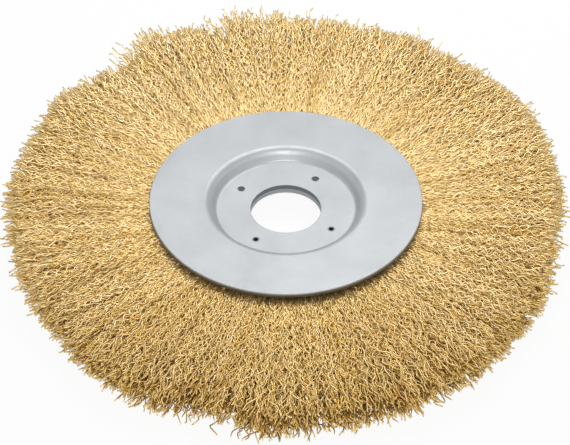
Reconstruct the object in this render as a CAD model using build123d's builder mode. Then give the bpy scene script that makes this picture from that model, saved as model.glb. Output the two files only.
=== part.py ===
# Crimped wire wheel brush, as a bench grinder carries it, lying flat on its wire tips.
# Millimetres. The bore runs along +Z and the origin is the bore's centre, where the two plates meet.
import os
from math import atan2, cos, degrees, radians, sin, tan
from random import Random

from build123d import *

# Wheel
wheel_diameter = 200.0
rim_width = 20.0  # across the wire tips
bore_diameter = 25.4

# Pressed steel plates: a flat middle, a dish wall and a flat flange
plate_diameter = 98.0
plate_thickness = 1.8
dish_depth = 4.6  # flange above the middle
dish_floor_diameter = 53.4  # on the inner side of the sheet
dish_mouth_diameter = 57.2  # on the inner side of the sheet
foot_bend_radius = 3.2
mouth_bend_radius = 1.4
edge_break = 0.3

# Stakes: each plate has two spurs, pressed into two holes of the other plate
stake_circle_diameter = 38.8
stake_angle = 56.5  # of the first hole, degrees from +X
stake_hole_diameter = 2.7
stake_clearance = 0.05
spur_length = 1.2
spur_wall = 0.5
spur_floor = 0.4

# Ring that the wires are folded over
ring_diameter = 74.0  # at the middle of its wire
ring_wire_diameter = 4.0
ring_clearance = 0.1

# Wire tufts
tuft_count = 24
tuft_kind_count = 4  # tufts with their own tip lengths, repeated round the wheel
tuft_parting = 0.2
root_setback = 0.5  # from the plates' edge to the end of the pressed roots
strands_across = 5
strand_layers = 4
strand_width = 1.7
strand_overlap = 0.6  # into the pressed roots
layer_stagger = 0.15  # of the angle from strand to strand
crimp_height = 0.8  # to each side of the strand's line
crimp_half_wave = 6.4
tip_scatter = 5.0
rest_flat_depth = 0.5  # worn flat that the wheel lies on
scatter_seed = 7

bore_radius = bore_diameter / 2
plate_radius = plate_diameter / 2
wheel_radius = wheel_diameter / 2
ring_radius = ring_diameter / 2
stake_radius = stake_circle_diameter / 2
stake_hole_radius = stake_hole_diameter / 2
spur_radius = stake_hole_radius - stake_clearance

# Pressed roots fill the room between the two flanges
root_radius = plate_radius - root_setback
root_half_height = dish_depth
ring_channel_radius = ring_wire_diameter / 2 + ring_clearance

# Strands fan out from the root's height to the rim's width
tuft_angle = 360 / tuft_count
strand_angle = tuft_angle / strands_across
root_layer_height = 2 * root_half_height / strand_layers
rim_layer_height = (rim_width - strand_width) / (strand_layers - 1)

os.makedirs("parts", exist_ok=True)


def finish(piece, name):
    piece.part.label = name
    export_step(piece.part, f"parts/{name}.step")


with BuildPart() as front_plate:
    with BuildSketch(Plane.XZ):
        with BuildLine():
            inner_side = FilletPolyline(
                (bore_radius, 0),
                (dish_floor_diameter / 2, 0),
                (dish_mouth_diameter / 2, dish_depth),
                (plate_radius, dish_depth),
                radius=[foot_bend_radius, mouth_bend_radius],
            )
            offset(inner_side, amount=plate_thickness, side=Side.LEFT)
        make_face()
    revolve(axis=Axis.Z)
    fillet(front_plate.edges().filter_by(GeomType.CIRCLE).group_by(SortBy.RADIUS)[-1], edge_break)
    with BuildSketch():
        with PolarLocations(stake_radius, 2, start_angle=stake_angle, angular_range=180):
            Circle(stake_hole_radius)
    extrude(amount=plate_thickness, mode=Mode.SUBTRACT)
    with BuildSketch():
        with PolarLocations(stake_radius, 2, start_angle=stake_angle + 180, angular_range=180):
            Circle(spur_radius)
    extrude(amount=-spur_length)
    with BuildSketch(Plane.XY.offset(plate_thickness)):
        with PolarLocations(stake_radius, 2, start_angle=stake_angle + 180, angular_range=180):
            Circle(spur_radius - spur_wall)
    extrude(amount=spur_floor - spur_length - plate_thickness, mode=Mode.SUBTRACT)
finish(front_plate, "front_plate")

# The rear plate is the same pressing turned over, so that its spurs meet the front plate's holes
turn_over_angle = radians(stake_angle + 135)
with BuildPart() as rear_plate:
    turn_over = Axis((0, 0, 0), (cos(turn_over_angle), sin(turn_over_angle), 0))
    add(front_plate.part.rotate(turn_over, 180))
finish(rear_plate, "rear_plate")

with BuildPart() as core_ring:
    with BuildSketch(Plane.XZ):
        with Locations((ring_radius, 0)):
            Circle(ring_wire_diameter / 2)
    revolve(axis=Axis.Z)
finish(core_ring, "core_ring")


def layer_plane(layer):
    # Lower side of one layer's strands: it leans from the root's height to the rim's width.
    step = layer - (strand_layers - 1) / 2
    root_height = step * root_layer_height
    lean = atan2(step * rim_layer_height - root_height, wheel_radius - root_radius)
    middle = Plane(
        origin=(0, 0, root_height - root_radius * tan(lean)),
        x_dir=(cos(lean), 0, sin(lean)),
        z_dir=(-sin(lean), 0, cos(lean)),
    )
    return middle.offset(-strand_width / 2), cos(lean)


def strand_outline(start, tip, first_side):
    # Zigzag band along +X, as wide all the way as the strand.
    bends = int((tip - start) / crimp_half_wave)
    stations = [start] + [start + (bend + 1) * crimp_half_wave for bend in range(bends)]
    stations[-1] = tip
    swings = [0] + [first_side * crimp_height * (-1) ** bend for bend in range(bends)]
    left = [(x, y + strand_width / 2) for x, y in zip(stations, swings)]
    right = [(x, y - strand_width / 2) for x, y in zip(stations, swings)]
    return right + left[::-1]


scatter = Random(scatter_seed)
root_arc = tuft_angle - degrees(tuft_parting / root_radius)
root_side = Plane.XZ.rotated((0, 0, -root_arc / 2))
tuft_kinds = []
for kind in range(tuft_kind_count):
    tip_back = [scatter.uniform(0, tip_scatter) for _ in range(strands_across * strand_layers)]
    tip_back[kind] = 0  # one strand of each tuft reaches the full wheel

    with BuildPart() as tuft_kind:
        with BuildSketch(root_side):
            with Locations(((ring_radius + root_radius) / 2, 0)):
                Rectangle(root_radius - ring_radius, 2 * root_half_height)
            with Locations((ring_radius, 0)):
                Circle(root_half_height)
                Circle(ring_channel_radius, mode=Mode.SUBTRACT)
        revolve(axis=Axis.Z, revolution_arc=root_arc)
        strands = []
        for layer in range(strand_layers):
            plane, slope = layer_plane(layer)
            side = 1 if layer % 2 else -1
            start = (root_radius - strand_overlap) / slope
            for across in range(strands_across):
                turn = (across - (strands_across - 1) / 2 + side * layer_stagger) * strand_angle
                tip = (wheel_radius - tip_back[layer * strands_across + across]) / slope
                with BuildSketch(plane.rotated((0, 0, turn))) as band:
                    Polygon(*strand_outline(start, tip, side), align=None)
                strands.append(extrude(band.sketch, amount=strand_width, mode=Mode.PRIVATE))
        add(strands)
        split(bisect_by=Plane.XY.offset(rest_flat_depth - rim_width / 2), keep=Keep.TOP)
    tuft_kinds.append(tuft_kind.part)

for number in range(tuft_count):
    with BuildPart() as wire_tuft:
        add(tuft_kinds[number % tuft_kind_count].rotate(Axis.Z, number * tuft_angle), clean=False)
    finish(wire_tuft, f"wire_tuft_{number + 1:02d}")
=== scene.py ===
import math

import bpy
import numpy as np
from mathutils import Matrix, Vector


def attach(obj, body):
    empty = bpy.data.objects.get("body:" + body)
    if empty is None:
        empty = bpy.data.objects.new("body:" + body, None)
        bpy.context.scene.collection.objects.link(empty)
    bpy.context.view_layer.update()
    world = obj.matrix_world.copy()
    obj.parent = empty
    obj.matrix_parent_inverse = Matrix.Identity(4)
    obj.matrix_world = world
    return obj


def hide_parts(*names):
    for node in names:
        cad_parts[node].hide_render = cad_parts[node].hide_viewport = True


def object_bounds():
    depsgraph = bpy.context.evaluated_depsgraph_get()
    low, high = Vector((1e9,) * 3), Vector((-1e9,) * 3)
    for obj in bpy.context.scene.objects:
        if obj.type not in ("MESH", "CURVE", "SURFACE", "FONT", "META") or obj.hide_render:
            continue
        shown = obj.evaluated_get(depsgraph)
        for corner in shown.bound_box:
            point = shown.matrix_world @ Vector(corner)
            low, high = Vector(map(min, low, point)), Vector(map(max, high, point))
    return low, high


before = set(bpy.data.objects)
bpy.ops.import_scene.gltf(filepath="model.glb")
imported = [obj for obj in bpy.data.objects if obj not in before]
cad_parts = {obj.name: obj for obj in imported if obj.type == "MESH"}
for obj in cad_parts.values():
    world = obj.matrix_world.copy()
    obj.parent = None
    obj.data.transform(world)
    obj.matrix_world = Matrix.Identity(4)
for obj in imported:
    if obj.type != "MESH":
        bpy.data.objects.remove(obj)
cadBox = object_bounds()
scene = bpy.context.scene
mm = 0.001
print("frame loaded:", len(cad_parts), "nodes")


# shader helpers

def newMaterial(name):
    material = bpy.data.materials.new(name)
    material.use_nodes = True
    nodes = material.node_tree.nodes
    return material, nodes, material.node_tree.links, nodes["Principled BSDF"]


def mapRange(nodes, links, value, low, high, toLow, toHigh):
    node = nodes.new("ShaderNodeMapRange")
    for name, number in (("From Min", low), ("From Max", high), ("To Min", toLow), ("To Max", toHigh)):
        node.inputs[name].default_value = number
    links.new(value, node.inputs["Value"])
    return node.outputs["Result"]


def mixColor(nodes, links, factor, first, second):
    node = nodes.new("ShaderNodeMix")
    node.data_type = "RGBA"
    for socket, source in ((node.inputs[0], factor), (node.inputs[6], first), (node.inputs[7], second)):
        if isinstance(source, bpy.types.NodeSocket):
            links.new(source, socket)
        else:
            socket.default_value = source
    return node.outputs[2]


def joinValues(nodes, links, operation, first, second):
    node = nodes.new("ShaderNodeMath")
    node.operation = operation
    links.new(first, node.inputs[0])
    links.new(second, node.inputs[1])
    return node.outputs[0]


# patchy tarnish, shared by the plates, the ring and the wires
tarnishSettings = {"patchDetail": 4.0, "grainDetail": 2.0, "roughness": 0.6}


def buildTarnishGroup():
    group = bpy.data.node_groups.new("tarnishPatches", "ShaderNodeTree")
    sockets = (
        ("Patch Scale", "INPUT", "NodeSocketFloat"),
        ("Grain Scale", "INPUT", "NodeSocketFloat"),
        ("Patches", "OUTPUT", "NodeSocketFloat"),
        ("Grain", "OUTPUT", "NodeSocketFloat"),
    )
    for name, side, kind in sockets:
        group.interface.new_socket(name=name, in_out=side, socket_type=kind)
    nodes, links = group.nodes, group.links
    entry = nodes.new("NodeGroupInput")
    leave = nodes.new("NodeGroupOutput")
    place = nodes.new("ShaderNodeTexCoord")
    layers = (
        ("Patch Scale", "Patches", tarnishSettings["patchDetail"]),
        ("Grain Scale", "Grain", tarnishSettings["grainDetail"]),
    )
    for scaleName, outName, detail in layers:
        noise = nodes.new("ShaderNodeTexNoise")
        noise.inputs["Detail"].default_value = detail
        noise.inputs["Roughness"].default_value = tarnishSettings["roughness"]
        links.new(place.outputs["Object"], noise.inputs["Vector"])
        links.new(entry.outputs[scaleName], noise.inputs["Scale"])
        links.new(noise.outputs["Fac"], leave.inputs[outName])
    return group


tarnishGroup = buildTarnishGroup()


def placeTarnish(nodes, patchScale, grainScale):
    node = nodes.new("ShaderNodeGroup")
    node.node_tree = tarnishGroup
    node.inputs["Patch Scale"].default_value = patchScale
    node.inputs["Grain Scale"].default_value = grainScale
    return node.outputs["Patches"], node.outputs["Grain"]


# zinc-plated sheet of the two plates
zincFinish = {
    "dull": (0.34, 0.357, 0.37, 1),
    "bright": (0.40, 0.418, 0.431, 1),
    "metallic": 0.4,
    "roughLow": 0.38,
    "roughHigh": 0.52,
    "patchScale": 55.0,
    "patchSpan": (0.32, 0.68),
    "grainScale": 1500.0,
    "grainSpan": (0.3, 0.7),
    "grainDepth": 0.02 * mm,
    "grainStrength": 0.35,
    "wallHighlightZinc": (0.53, 0.55, 0.565, 1),
    "wallFoot": 25.4 * mm,        # dish wall, in painted highlight: lighter zinc
    "wallMouth": 27.2 * mm,
    "wallFade": 0.6 * mm,
    # painted shade: near-black for the stake marks, the bore wall and the rim edges
    "paintedShadeColour": (0.05, 0.05, 0.05, 1),
    "stakeRadius": 19.4 * mm,
    "stakeAngle": 56.5,           # degrees, then every quarter turn
    "stakeInner": 0.8 * mm,       # painted shade in the stake dimples is full up to here
    "stakeOuter": 1.6 * mm,       # and gone here
    "boreInner": 12.72 * mm,      # punched wall of the bore, in painted shade
    "boreOuter": 12.85 * mm,
    "borePaintedShade": 0.7,
    "jointHalf": 0.1 * mm,        # painted shade on the front bore wall fades out where the two plates meet
    "rimInner": 48.6 * mm,        # sheared edge of the rims, in painted shade
    "rimOuter": 48.85 * mm,
    "rimFull": 5.5 * mm,          # painted shade of the rim's edge, by height: full up to here, gone at the next height
    "rimShadeGone": 6.0 * mm,
    "rimPaintedShade": 0.8,
}


def nearStakes(nodes, links, flat):
    # 1 in the four stake marks round the bore, 0 elsewhere; the marks get painted shade
    total = None
    for quarter in range(4):
        turn = math.radians(zincFinish["stakeAngle"] + 90 * quarter)
        away = nodes.new("ShaderNodeVectorMath")
        away.operation = "DISTANCE"
        away.inputs[1].default_value = Vector((math.cos(turn), math.sin(turn), 0)) * zincFinish["stakeRadius"]
        links.new(flat, away.inputs[0])
        reach = zincFinish["stakeInner"], zincFinish["stakeOuter"]
        mark = mapRange(nodes, links, away.outputs["Value"], *reach, 1, 0)
        total = mark if total is None else joinValues(nodes, links, "MAXIMUM", total, mark)
    return total


def edgePaintedShade(nodes, links, place, radius):
    # painted shade on the punched wall of the front plate's bore, and on the lower part of the sheared edge
    # of the two rims
    split = nodes.new("ShaderNodeSeparateXYZ")
    links.new(place, split.inputs[0])
    height = nodes.new("ShaderNodeMath")
    height.operation = "ABSOLUTE"
    links.new(split.outputs["Z"], height.inputs[0])
    bore = mapRange(nodes, links, radius, zincFinish["boreInner"], zincFinish["boreOuter"], 1, 0)
    joint = zincFinish["jointHalf"]
    front = mapRange(nodes, links, split.outputs["Z"], -joint, joint, 0, zincFinish["borePaintedShade"])
    rim = mapRange(nodes, links, radius, zincFinish["rimInner"], zincFinish["rimOuter"], 0, 1)
    reach = zincFinish["rimFull"], zincFinish["rimShadeGone"]
    # painted shade on the rim's edge, full low down and gone near its top
    under = mapRange(nodes, links, height.outputs[0], *reach, zincFinish["rimPaintedShade"], 0)
    wall = joinValues(nodes, links, "MULTIPLY", bore, front)
    return joinValues(nodes, links, "MAXIMUM", wall, joinValues(nodes, links, "MULTIPLY", rim, under))


def dishWallHighlight(nodes, links, radius):
    # painted highlight: mask of the dish wall, which gets lighter zinc
    foot, mouth, fade = (zincFinish[name] for name in ("wallFoot", "wallMouth", "wallFade"))
    inside = mapRange(nodes, links, radius, foot, foot + fade, 0, 1)
    outside = mapRange(nodes, links, radius, mouth - fade, mouth + fade, 1, 0)
    return joinValues(nodes, links, "MULTIPLY", inside, outside)


def makeZincFinish():
    material, nodes, links, shader = newMaterial("zincPlatedSteel")
    patches, grain = placeTarnish(nodes, zincFinish["patchScale"], zincFinish["grainScale"])
    share = mapRange(nodes, links, patches, *zincFinish["patchSpan"], 0.0, 1.0)
    colour = mixColor(nodes, links, share, zincFinish["dull"], zincFinish["bright"])
    place = nodes.new("ShaderNodeTexCoord").outputs["Object"]
    flat = nodes.new("ShaderNodeVectorMath")
    flat.operation = "MULTIPLY"
    flat.inputs[1].default_value = (1, 1, 0)
    links.new(place, flat.inputs[0])
    length = nodes.new("ShaderNodeVectorMath")
    length.operation = "LENGTH"
    links.new(flat.outputs["Vector"], length.inputs[0])
    radius = length.outputs["Value"]
    # painted highlight: lighter zinc on the dish wall
    colour = mixColor(nodes, links, dishWallHighlight(nodes, links, radius), colour, zincFinish["wallHighlightZinc"])
    stakes = nearStakes(nodes, links, flat.outputs["Vector"])
    edges = edgePaintedShade(nodes, links, place, radius)
    # painted shade of the stake marks, the bore wall and the rim edges, mixed into the zinc
    paintedShadeMask = joinValues(nodes, links, "MAXIMUM", stakes, edges)
    colour = mixColor(nodes, links, paintedShadeMask, colour, zincFinish["paintedShadeColour"])
    links.new(colour, shader.inputs["Base Color"])
    roughSpan = zincFinish["roughLow"], zincFinish["roughHigh"]
    rough = mapRange(nodes, links, grain, *zincFinish["grainSpan"], *roughSpan)
    links.new(rough, shader.inputs["Roughness"])
    bump = nodes.new("ShaderNodeBump")
    bump.inputs["Distance"].default_value = zincFinish["grainDepth"]
    bump.inputs["Strength"].default_value = zincFinish["grainStrength"]
    links.new(grain, bump.inputs["Height"])
    links.new(bump.outputs["Normal"], shader.inputs["Normal"])
    shader.inputs["Metallic"].default_value = zincFinish["metallic"]
    return material


# plain drawn wire of the ring inside
ringFinish = {
    "dark": (0.22, 0.215, 0.21, 1),
    "light": (0.42, 0.41, 0.40, 1),
    "roughness": 0.42,
    "patchScale": 120.0,
    "grainScale": 1800.0,
}


def makeRingFinish():
    material, nodes, links, shader = newMaterial("drawnSteelRing")
    patches, _ = placeTarnish(nodes, ringFinish["patchScale"], ringFinish["grainScale"])
    colour = mixColor(nodes, links, patches, ringFinish["dark"], ringFinish["light"])
    links.new(colour, shader.inputs["Base Color"])
    shader.inputs["Metallic"].default_value = 1.0
    shader.inputs["Roughness"].default_value = ringFinish["roughness"]
    return material


# brass-coated crimped wire
wireFinish = {
    "deep": (0.66, 0.43, 0.10, 1),
    "pale": (0.98, 0.81, 0.49, 1),
    "tarnish": (0.50, 0.32, 0.07, 1),
    "tarnishShare": 0.25,
    "tarnishSpan": (0.48, 0.72),
    "metallic": 0.75,
    "specular": 0.05,
    "roughness": 0.4,
    "patchScale": 160.0,
    "grainScale": 900.0,
}


def makeWireFinish():
    material, nodes, links, shader = newMaterial("brassCoatedWire")
    tone = nodes.new("ShaderNodeAttribute")
    tone.attribute_name = "wireToneAndShade"
    patches, _ = placeTarnish(nodes, wireFinish["patchScale"], wireFinish["grainScale"])
    # the wire tone carries random tone and painted shade, deep in the fill and towards the near side
    coat = mixColor(nodes, links, tone.outputs["Fac"], wireFinish["deep"], wireFinish["pale"])
    share = mapRange(nodes, links, patches, *wireFinish["tarnishSpan"], 0.0, wireFinish["tarnishShare"])
    colour = mixColor(nodes, links, share, coat, wireFinish["tarnish"])
    links.new(colour, shader.inputs["Base Color"])
    shader.inputs["Metallic"].default_value = wireFinish["metallic"]
    shader.inputs["Specular IOR Level"].default_value = wireFinish["specular"]
    shader.inputs["Roughness"].default_value = wireFinish["roughness"]
    return material


def dress(node, material):
    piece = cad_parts[node]
    piece.data.materials.clear()
    piece.data.materials.append(material)


zincMaterial = makeZincFinish()
dress("front_plate", zincMaterial)
dress("rear_plate", zincMaterial)
dress("core_ring", makeRingFinish())
print("plates and ring finished")


# crimped wires, one mesh for each tuft of the frame
wireSettings = {
    "seed": 11,
    "perTuft": 540,
    "diameter": 0.50 * mm,
    "sides": 4,
    "rootRadius": 46.4 * mm,      # hidden under the plates
    "rootSlack": 1.7 * mm,
    "rootHalf": 3.6 * mm,         # highest wire at the root, between the flanges
    "frontRise": 7.5 * mm,        # front tips above the wheel's middle
    "frontLean": 3.6 * mm,        # higher at the far side, lower at the near one
    "rearDrop": 10.5 * mm,        # rear tips, pressed on what the wheel lies on
    "levelStep": 0.6180339887,    # golden ratio, spreads neighbours over the levels
    "levelJitter": 0.12,
    "evenShare": 0.25,            # wires spread evenly through the fill
    "packedBias": 0.22,           # under 1 lays more wires near the two sides
    "looseBias": 0.42,            # added where the fill is loose
    "looseSink": 1.1 * mm,        # how far loose wires leave the front plate
    "tipRadius": 103.6 * mm,
    "tipShort": 1.5 * mm,
    "longShare": 0.06,
    "longBy": 2.2 * mm,
    "shortShare": 0.35,           # wires that end well inside the rim
    "shortBy": 5.0 * mm,
    "rimRound": 4.0 * mm,         # how much shorter the wires of the two sides are
    "waveHeight": 1.8 * mm,       # slow waves in the wheel's outline
    "waves": (5, 9, 14, 23, 37, 61),
    "waveSpread": (0.5, 1.0),
    "halfWaves": 22,
    "bendHalf": 0.22,             # half the length of each rounded bend, in half waves
    "crimp": 0.62 * mm,
    "crimpSpread": 0.14,
    "crimpLimits": (0.5, 1.4),
    "crimpStart": (0.4, 1.4),     # place of the first bend, in half waves
    "bendJitter": 0.3,            # of the crimp's height
    "bendSlip": 0.5,              # share of that jitter along the wire, in half waves
    "pressedEnd": 0.02,           # the plates press the crimp up to here, as a share of the length
    "pressedFade": 0.08,
    "pressedCrimp": 0.3,
    "clumpsRound": 150,
    "clumpLevels": 5,
    "clumpPull": 0.6,             # tips of a clump lean together
    "clumpPullSpread": (0.3, 1.0),
    "clumpShift": 0.4,            # of the clump's width
    "clumpShort": 2.3 * mm,
    "clumpRise": 0.65 * mm,
    "clumpFrom": 4.0,             # power of the length, so that only the tips gather
    "sideLean": 3.0 * mm,
    "messyShare": 0.4,
    "messyLean": 8.0 * mm,
    "heightLean": 0.8 * mm,
    "packedRagged": 0.3,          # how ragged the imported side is
    "looseRagged": 1.1,           # added where the fill is loose
    "wander": 2.3 * mm,
    "packedWander": 0.45,
    "looseWander": 0.6,
    "wanderStiff": (0.6, 0.5),    # short waves wander less
    "wanderFrom": 0.4,            # power of the length
    "sideWaves": (1.0, 6.0),      # along one wire
    "heightWaves": (3.0, 10.0),
    "innerShadePaleness": 0.25,            # painted shade: how pale the wires in the middle of the fill are, deeper among the other wires
    "nearPaintedShade": 0.3,             # painted shade: how much deeper the wires towards the near side are
    "toneSpread": (2.6, 1.5),
    "strayChoice": 3,             # a stray is one of so many nearest wires
    "floorGap": 0.55,             # of the diameter, from the floor to a wire's middle
    "uvCells": 24,
    "uvMargin": 0.07,             # of a cell
}
# wires that stand out of the fill: degrees round the wheel, reach, side lean and height at the tip, in mm
strayWires = (
    (86, 102.0, -3.0, 14.0), (84, 101.5, 2.0, 12.5), (92, 100.5, 1.0, 13.0), (90, 101.0, -2.0, 12.0),
    (101, 102.0, 1.5, 13.0), (99, 101.0, -1.0, 13.5), (103, 100.5, 2.0, 12.0), (116, 102.5, 3.0, 12.0),
    (79, 100.5, -1.5, 13.0), (72, 101.0, 3.0, 12.0), (67, 101.5, 4.0, 11.0), (58, 104.5, 5.0, 12.0),
    (55, 104.0, 3.5, 10.0), (52, 103.0, 5.0, 11.0), (48, 103.5, 3.0, 9.5), (128, 102.0, -3.0, 10.0),
    (250, 102.5, 1.5, -8.0), (284, 103.0, 2.5, -7.0), (227, 102.5, -2.5, -6.0), (302, 102.5, 3.0, -8.5),
)
# lumps of longer or shorter wires: degrees round the wheel, extra reach in mm, half width in degrees
lumps = (
    (18, 1.5, 5), (36, 3.5, 10), (60, 3.0, 3), (92, 4.0, 2.5), (100.5, 7.0, 2.5), (105.5, -5.0, 3),
    (112, 2.5, 3), (121, 8.5, 3), (129.5, -6.5, 4.5), (139, -1.5, 4), (146, 1.5, 4), (157, -1.5, 5),
    (193, -2.2, 14), (218, -2.0, 6), (242, 2.5, 5), (254, -4.0, 4), (268, 4.5, 6), (281, 3.0, 4),
    (294, 4.0, 4), (322, -1.5, 7), (350, -3.5, 12),
)
# places where the fill parts: degrees round the wheel
partings = (258.5, 277.0, 318.0, 241.0, 226.0, 297.0, 338.0, 205.0, 139.0)
partingSettings = {"halfWidth": 1.8, "shift": 0.8}  # degrees


def smoothRound(angle, rng, settings):
    # slow uneven waves round the wheel
    total = np.zeros_like(angle)
    for wave in settings["waves"]:
        total += np.sin(wave * angle + rng.uniform(0, 2 * math.pi)) * rng.uniform(*settings["waveSpread"])
    return total * settings["waveHeight"] / len(settings["waves"])


def degreesFrom(angle, centre):
    return (np.degrees(angle) - centre + 180) % 360 - 180


def layClumps(settings, rootAngle, level, rng):
    # small groups of neighbours whose tips lean together
    columns, rows = settings["clumpsRound"], settings["clumpLevels"]
    cell = 2 * math.pi / columns
    row = np.minimum((level + 1) / 2 * rows, rows - 1).astype(int)
    rowOffset = rng.uniform(0, 1, rows)[row]
    step = np.floor(rootAngle / cell + rowOffset)
    clump = step.astype(int) % columns * rows + row
    shift = rng.uniform(-settings["clumpShift"], settings["clumpShift"], columns * rows)[clump]
    pull = settings["clumpPull"] * rng.uniform(*settings["clumpPullSpread"], columns * rows)[clump]
    short = np.abs(rng.normal(0, settings["clumpShort"], columns * rows))[clump]
    rise = rng.normal(0, settings["clumpRise"], columns * rows)[clump]
    turn = ((step + 0.5 - rowOffset + shift) * cell - rootAngle) * pull
    return turn, short, rise


def layWires(settings, tuftCount):
    rng = np.random.default_rng(settings["seed"])
    count = settings["perTuft"] * tuftCount
    order = np.arange(count)
    rootAngle = 2 * math.pi * (order + rng.uniform(0, 1, count)) / count - math.pi / tuftCount
    step = order * settings["levelStep"] + rng.uniform(0, settings["levelJitter"], count)
    level = (step % 1.0) * 2 - 1  # -1 rear, 1 front
    loose = 0.5 - 0.5 * np.sin(rootAngle)  # 0 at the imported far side, 1 at the near one
    even = rng.uniform(0, 1, count) < settings["evenShare"]
    bias = np.where(even, 1.0, settings["packedBias"] + settings["looseBias"] * loose)
    level = np.sign(level) * np.abs(level) ** bias
    clumpTurn, clumpShort, clumpRise = layClumps(settings, rootAngle, level, rng)
    messy = rng.uniform(0, 1, count) < settings["messyShare"]
    lean = rng.normal(0, 1, count) * np.where(messy, settings["messyLean"], settings["sideLean"])
    turn = lean / settings["tipRadius"]
    for parting in partings:
        away = degreesFrom(rootAngle + turn, parting)
        push = np.sign(away) * np.exp(-(away / partingSettings["halfWidth"]) ** 2)
        turn += np.radians(push * partingSettings["shift"])
    frontRise = settings["frontRise"] + settings["frontLean"] * np.sin(rootAngle)
    tipHeight = level * np.where(level > 0, frontRise, settings["rearDrop"])
    ragged = settings["packedRagged"] + settings["looseRagged"] * loose
    tipHeight += (clumpRise + rng.normal(0, settings["heightLean"], count)) * ragged
    tipRadius = settings["tipRadius"] - settings["rimRound"] * level ** 2 - clumpShort * ragged
    waveRng = np.random.default_rng(settings["seed"])
    tipRadius += smoothRound(rootAngle, waveRng, settings)
    for centre, reach, halfWidth in lumps:
        tipRadius += reach * mm * np.exp(-(degreesFrom(rootAngle, centre) / halfWidth) ** 2)
    tipRadius -= np.abs(rng.normal(0, settings["tipShort"], count))
    tipRadius += np.where(rng.uniform(0, 1, count) < settings["longShare"], settings["longBy"], 0.0)
    short = rng.uniform(0, 1, count) < settings["shortShare"]
    tipRadius -= np.where(short, rng.exponential(settings["shortBy"], count), 0.0)
    for number, (degrees, reach, side, height) in enumerate(strayWires):
        nearness = np.abs(degreesFrom(rootAngle, degrees)) - level * np.sign(height)
        stray = np.argsort(nearness)[number % settings["strayChoice"]]
        turn[stray] = side * mm / settings["tipRadius"]
        tipRadius[stray] = reach * mm
        tipHeight[stray] = height * mm
    wanderWaves = np.stack([rng.uniform(*settings[name], count) for name in ("sideWaves", "heightWaves")])
    still, perWave = settings["wanderStiff"]
    wander = rng.normal(0, settings["wander"], (2, count)) / (still + perWave * wanderWaves)
    wander *= settings["packedWander"] + settings["looseWander"] * loose
    sink = np.where(level > 0, settings["looseSink"] * loose, 0.0)
    # painted shade: wires in the middle of the fill get a deeper tone
    paintedShadeScale = settings["innerShadePaleness"] + (1 - settings["innerShadePaleness"]) * np.abs(level)
    # painted shade: deeper towards the near side
    paintedShadeScale *= 1 - settings["nearPaintedShade"] * loose ** 2
    return {
        "rootAngle": rootAngle, "turn": turn, "clumpTurn": clumpTurn * ragged,
        "rootHeight": level * settings["rootHalf"] - sink,
        "rootRadius": settings["rootRadius"] + rng.uniform(-1, 1, count) * settings["rootSlack"],
        "tipRadius": tipRadius, "tipHeight": tipHeight,
        "crimp": settings["crimp"]
        * rng.normal(1.0, settings["crimpSpread"], count).clip(*settings["crimpLimits"]),
        "crimpTurn": rng.uniform(0, 2 * math.pi, count),
        "crimpStart": rng.uniform(*settings["crimpStart"], count),
        "wander": wander,
        "wanderTurn": rng.uniform(0, 2 * math.pi, (2, count)),
        "wanderWaves": wanderWaves,
        "tone": rng.beta(*settings["toneSpread"], count) * paintedShadeScale,
    }


def wireStations(settings, starts, rng):
    # two rings at each bend of the crimp, and one at each end
    wires, bends = len(starts), settings["halfWaves"] - 1
    jitter = rng.uniform(-1, 1, (2, wires, bends, 1)) * settings["bendJitter"]
    bend = np.arange(bends)[None, :, None]
    sides = settings["bendHalf"] * np.array((-1.0, 1.0))
    slip = jitter[0] * settings["bendSlip"]
    along = (bend + starts[:, None, None] + slip + sides) / settings["halfWaves"]
    swing = (-1.0) ** bend * (1 + jitter[1]) + 0 * sides
    ends = np.zeros((wires, 1))
    shares = np.hstack((ends, along.reshape(wires, -1), ends + 1))
    return shares, np.hstack((ends, swing.reshape(wires, -1), ends))


def wirePaths(wires, chosen, settings, floorHeight):
    rng = np.random.default_rng(settings["seed"] + int(chosen[0]) + 1)
    share, swing = wireStations(settings, wires["crimpStart"][chosen], rng)
    pick = {name: value[..., chosen, None] for name, value in wires.items()}
    radius = pick["rootRadius"] + (pick["tipRadius"] - pick["rootRadius"]) * share
    gather = pick["clumpTurn"] * share ** settings["clumpFrom"]
    angle = pick["rootAngle"] + pick["turn"] * share + gather
    height = pick["rootHeight"] + (pick["tipHeight"] - pick["rootHeight"]) * share
    free = (share - settings["pressedEnd"]) / settings["pressedFade"]
    free = np.clip(free, settings["pressedCrimp"], 1.0)
    bow = [
        pick["wander"][part] * share ** settings["wanderFrom"]
        * np.sin(2 * math.pi * pick["wanderWaves"][part] * share + pick["wanderTurn"][part])
        for part in range(2)
    ]
    kink = pick["crimp"] * swing * free
    sideways = kink * np.cos(pick["crimpTurn"]) + bow[0]
    height = height + kink * np.sin(pick["crimpTurn"]) + bow[1]
    height = np.maximum(height, floorHeight + settings["diameter"] * settings["floorGap"])
    cosine, sine = np.cos(angle), np.sin(angle)
    places = radius * cosine - sideways * sine, radius * sine + sideways * cosine, height
    return np.stack(places, axis=-1)


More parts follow.
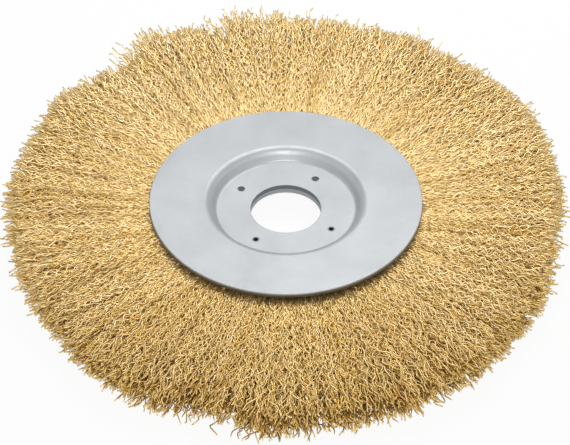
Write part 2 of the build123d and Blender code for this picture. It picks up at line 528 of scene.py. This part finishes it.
def tubeMesh(name, paths, tones, settings):
    wires, rings, _ = paths.shape
    sides = settings["sides"]
    tangent = np.gradient(paths, axis=1)
    tangent /= np.linalg.norm(tangent, axis=-1, keepdims=True)
    across = np.cross(tangent, (0.0, 0.0, 1.0))
    across /= np.linalg.norm(across, axis=-1, keepdims=True)
    upward = np.cross(across, tangent)
    turn = 2 * math.pi * (np.arange(sides) + 0.5) / sides
    reach = settings["diameter"] / 2
    spokes = across[:, :, None, :] * np.cos(turn)[:, None] + upward[:, :, None, :] * np.sin(turn)[:, None]
    points = (paths[:, :, None, :] + spokes * reach).reshape(-1, 3)

    wire = np.arange(wires)[:, None, None] * rings * sides
    ring = np.arange(rings - 1)[None, :, None] * sides
    edge = np.arange(sides)[None, None, :]
    after = (edge + 1) % sides
    first = wire + ring
    walls = np.stack((first + edge, first + after, first + sides + after, first + sides + edge), -1)
    base = np.arange(wires)[:, None] * rings * sides
    rootCaps = base + np.arange(sides)[::-1]
    tipCaps = base + (rings - 1) * sides + np.arange(sides)
    faces = np.concatenate((walls.reshape(-1, 4), rootCaps, tipCaps))[:, ::-1]

    mesh = bpy.data.meshes.new(name)
    mesh.vertices.add(len(points))
    mesh.vertices.foreach_set("co", points.astype(np.float32).ravel())
    mesh.loops.add(faces.size)
    mesh.loops.foreach_set("vertex_index", faces.astype(np.int32).ravel())
    mesh.polygons.add(len(faces))
    mesh.polygons.foreach_set("loop_start", np.arange(len(faces), dtype=np.int32) * 4)
    mesh.polygons.foreach_set("use_smooth", np.ones(len(faces), dtype=bool))
    mesh.update(calc_edges=True)

    tone = mesh.attributes.new("wireToneAndShade", "FLOAT", "POINT")
    tone.data.foreach_set("value", np.repeat(tones, rings * sides).astype(np.float32))
    layWireMap(mesh, wires, rings, settings)
    return mesh


def layWireMap(mesh, wires, rings, settings):
    # each wire has its own cell of the map: length across, girth upward
    sides, cells, margin = settings["sides"], settings["uvCells"], settings["uvMargin"]
    room = (1 - 2 * margin) / cells
    column = np.arange(wires) % cells
    row = np.arange(wires) // cells
    corner = np.stack((column, row), -1) / cells + margin / cells
    ring = np.arange(rings - 1)[:, None] / (rings - 1)
    side = np.arange(sides)[None, :] / sides
    step = 1 / (rings - 1)
    girth = 1 / sides
    near = np.stack(np.broadcast_arrays(ring, side), -1)
    quad = np.stack((near, near + (0, girth), near + (step, girth), near + (step, 0)), -2)
    walls = corner[:, None, None, None, :] + quad[None] * room
    capQuad = np.array(((0, 0), (0, girth), (step, girth), (step, 0)))
    rootCaps = corner[:, None, :] + capQuad[None] * room
    tipCaps = corner[:, None, :] + (capQuad[None] + (1 - step, 0)) * room
    spots = np.concatenate((walls.reshape(-1, 4, 2), rootCaps, tipCaps))[:, ::-1]
    layer = mesh.uv_layers.new(name="OFBake")
    layer.uv.foreach_set("vector", spots.astype(np.float32).ravel())


def buildTufts():
    tuftNodes = sorted(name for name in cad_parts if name.startswith("wire_tuft_"))
    wireMaterial = makeWireFinish()
    wires = layWires(wireSettings, len(tuftNodes))
    floorHeight = cadBox[0][2]
    perTuft = wireSettings["perTuft"]
    for number, node in enumerate(tuftNodes):
        chosen = np.arange(perTuft) + number * perTuft
        paths = wirePaths(wires, chosen, wireSettings, floorHeight)
        mesh = tubeMesh(f"wireTuft{number + 1:02d}", paths, wires["tone"][chosen], wireSettings)
        mesh.materials.append(wireMaterial)
        piece = bpy.data.objects.new(mesh.name, mesh)
        scene.collection.objects.link(piece)
        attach(piece, "root")
        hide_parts(node)
    print("wires laid:", len(tuftNodes) * perTuft)


buildTufts()


# pale floor that keeps a soft shadow
floorSettings = {"size": 6.0, "colour": (0.92, 0.92, 0.92, 1), "roughness": 0.9, "whiteShare": 0.93}


def lightPathWhite(nodes, links):
    path = nodes.new("ShaderNodeLightPath")
    total = path.outputs["Is Camera Ray"]
    for name in ("Is Glossy Ray", "Is Transmission Ray"):
        total = joinValues(nodes, links, "MAXIMUM", total, path.outputs[name])
    return total


def buildFloor():
    half = floorSettings["size"] / 2
    height = cadBox[0][2]
    mesh = bpy.data.meshes.new("floor")
    corners = [(-half, -half, height), (half, -half, height), (half, half, height), (-half, half, height)]
    mesh.from_pydata(corners, [], [(0, 1, 2, 3)])
    material, nodes, links, shader = newMaterial("paleFloor")
    shader.inputs["Base Color"].default_value = floorSettings["colour"]
    shader.inputs["Roughness"].default_value = floorSettings["roughness"]
    white = nodes.new("ShaderNodeEmission")
    mix = nodes.new("ShaderNodeMixShader")
    share = nodes.new("ShaderNodeMath")
    share.operation = "MULTIPLY"
    share.inputs[1].default_value = floorSettings["whiteShare"]
    links.new(lightPathWhite(nodes, links), share.inputs[0])
    links.new(share.outputs[0], mix.inputs[0])
    links.new(shader.outputs[0], mix.inputs[1])
    links.new(white.outputs[0], mix.inputs[2])
    links.new(mix.outputs[0], nodes["Material Output"].inputs["Surface"])
    mesh.materials.append(material)
    floor = bpy.data.objects.new("floor", mesh)
    scene.collection.objects.link(floor)


buildFloor()
print("floor laid")


# soft studio light
lampSettings = (
    # name, place and aim in metres, size across and upward, watts, spread in degrees
    ("topLamp", (0.03, 0.23, 0.46), (0, 0, 0), (0.32, 0.32), 1.6, 180),
    ("frontLamp", (0.15, -2.4, 2.25), (0, 0, 0), (0.8, 0.8), 33.0, 180),
    ("dishLamp", (0, -0.8795, 0.427), (0, 0.0265, 0.004), (0.08, 0.02), 0.001, 1.6),  # on the far wall
)
worldSettings = {"fill": 0.25, "white": 1.0}


def buildLights():
    for name, place, aim, size, watts, spread in lampSettings:
        lamp = bpy.data.lights.new(name, "AREA")
        lamp.shape = "RECTANGLE"
        lamp.size, lamp.size_y = size
        lamp.energy = watts
        lamp.spread = math.radians(spread)
        holder = bpy.data.objects.new(name, lamp)
        holder.location = place
        holder.rotation_euler = (Vector(place) - Vector(aim)).to_track_quat("Z", "Y").to_euler()
        scene.collection.objects.link(holder)
    world = bpy.data.worlds.new("studio")
    world.use_nodes = True
    scene.world = world
    nodes, links = world.node_tree.nodes, world.node_tree.links
    fill = nodes["Background"]
    fill.inputs["Color"].default_value = (1, 1, 1, 1)
    fill.inputs["Strength"].default_value = worldSettings["fill"]
    white = nodes.new("ShaderNodeBackground")
    white.inputs["Color"].default_value = (1, 1, 1, 1)
    white.inputs["Strength"].default_value = worldSettings["white"]
    mix = nodes.new("ShaderNodeMixShader")
    links.new(lightPathWhite(nodes, links), mix.inputs[0])
    links.new(fill.outputs[0], mix.inputs[1])
    links.new(white.outputs[0], mix.inputs[2])
    links.new(mix.outputs[0], nodes["World Output"].inputs["Surface"])


buildLights()
scene.view_settings.view_transform = "Standard"
print("lights placed")


# camera as the photo was taken
cameraSettings = {
    "frameWidth": 570,        # photo's pixels
    "frameHeight": 445,
    "elevation": 42.6,        # degrees above the wheel's plane
    "distance": 1.0,
    "focalPixels": 2776,
    "boreX": 285.9,           # where the bore's centre falls in the photo
    "boreY": 212.4,
    "sensor": 36.0,
    "clipStart": 0.01,
}


def buildCamera():
    lean = math.radians(cameraSettings["elevation"])
    backward = Vector((0, -math.cos(lean), math.sin(lean)))
    upward = Vector((0, math.sin(lean), math.cos(lean)))
    pixel = cameraSettings["distance"] / cameraSettings["focalPixels"]
    rightBy = (cameraSettings["boreX"] - cameraSettings["frameWidth"] / 2) * pixel
    upBy = (cameraSettings["frameHeight"] / 2 - cameraSettings["boreY"]) * pixel
    lens = bpy.data.cameras.new("photoCamera")
    lens.sensor_fit = "HORIZONTAL"
    lens.sensor_width = cameraSettings["sensor"]
    lens.lens = cameraSettings["focalPixels"] / cameraSettings["frameWidth"] * cameraSettings["sensor"]
    lens.clip_start = cameraSettings["clipStart"]
    holder = bpy.data.objects.new("photoCamera", lens)
    holder.location = backward * cameraSettings["distance"] - Vector((rightBy, 0, 0)) - upward * upBy
    holder.rotation_euler = backward.to_track_quat("Z", "Y").to_euler()
    scene.collection.objects.link(holder)
    scene.camera = holder


buildCamera()
print("camera placed")
